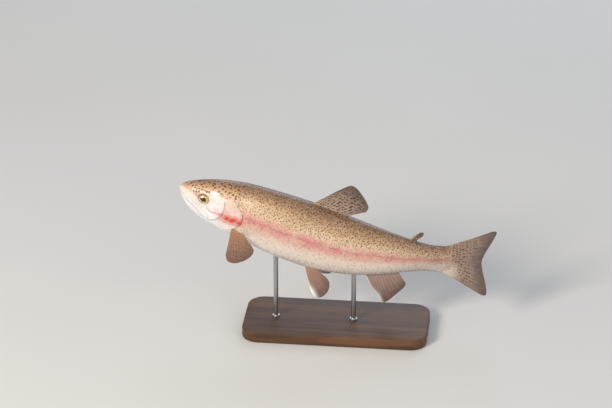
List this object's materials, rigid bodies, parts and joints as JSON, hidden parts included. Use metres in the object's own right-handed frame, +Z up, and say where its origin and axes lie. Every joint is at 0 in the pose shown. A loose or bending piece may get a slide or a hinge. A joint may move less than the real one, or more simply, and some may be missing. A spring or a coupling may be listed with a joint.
{
  "type": "rainbow trout",
  "caption": "Life-size rainbow trout in a gentle swimming curve, head raised, held by two short rods on a flat wooden base.",
  "frame": {"origin": "on the underside of the stand's base, under the middle of the whole model", "axes": "+Z up; the head points to -X and the tail to +X; the fish's left side faces -Y"},
  "size_m": [0.3332, 0.1144, 0.1705],
  "materials": {
    "spotted_skin": "wet scaled skin, tan back with dark spots, rose side band and silver belly",
    "fin_web": "satin fin web over fine branching rays",
    "eye": "clear wet dome over a golden iris and dark pupil",
    "walnut": "satin walnut",
    "rod_steel": "brushed steel"
  },
  "bodies": {
    "root": {"head": "spotted_skin", "lower_jaw": "spotted_skin", "trunk": "spotted_skin", "tail_stalk": "spotted_skin", "gill_cover_left": "spotted_skin", "gill_cover_right": "spotted_skin", "dorsal_fin": "fin_web", "adipose_fin": "fin_web", "anal_fin": "fin_web", "caudal_fin": "fin_web", "pectoral_fin_left": "fin_web", "pectoral_fin_right": "fin_web", "pelvic_fin_left": "fin_web", "pelvic_fin_right": "fin_web", "eye_left": "eye", "eye_right": "eye", "stand_base": "walnut", "stand_rod_front": "rod_steel", "stand_rod_rear": "rod_steel"}
  },
  "joints": []
}
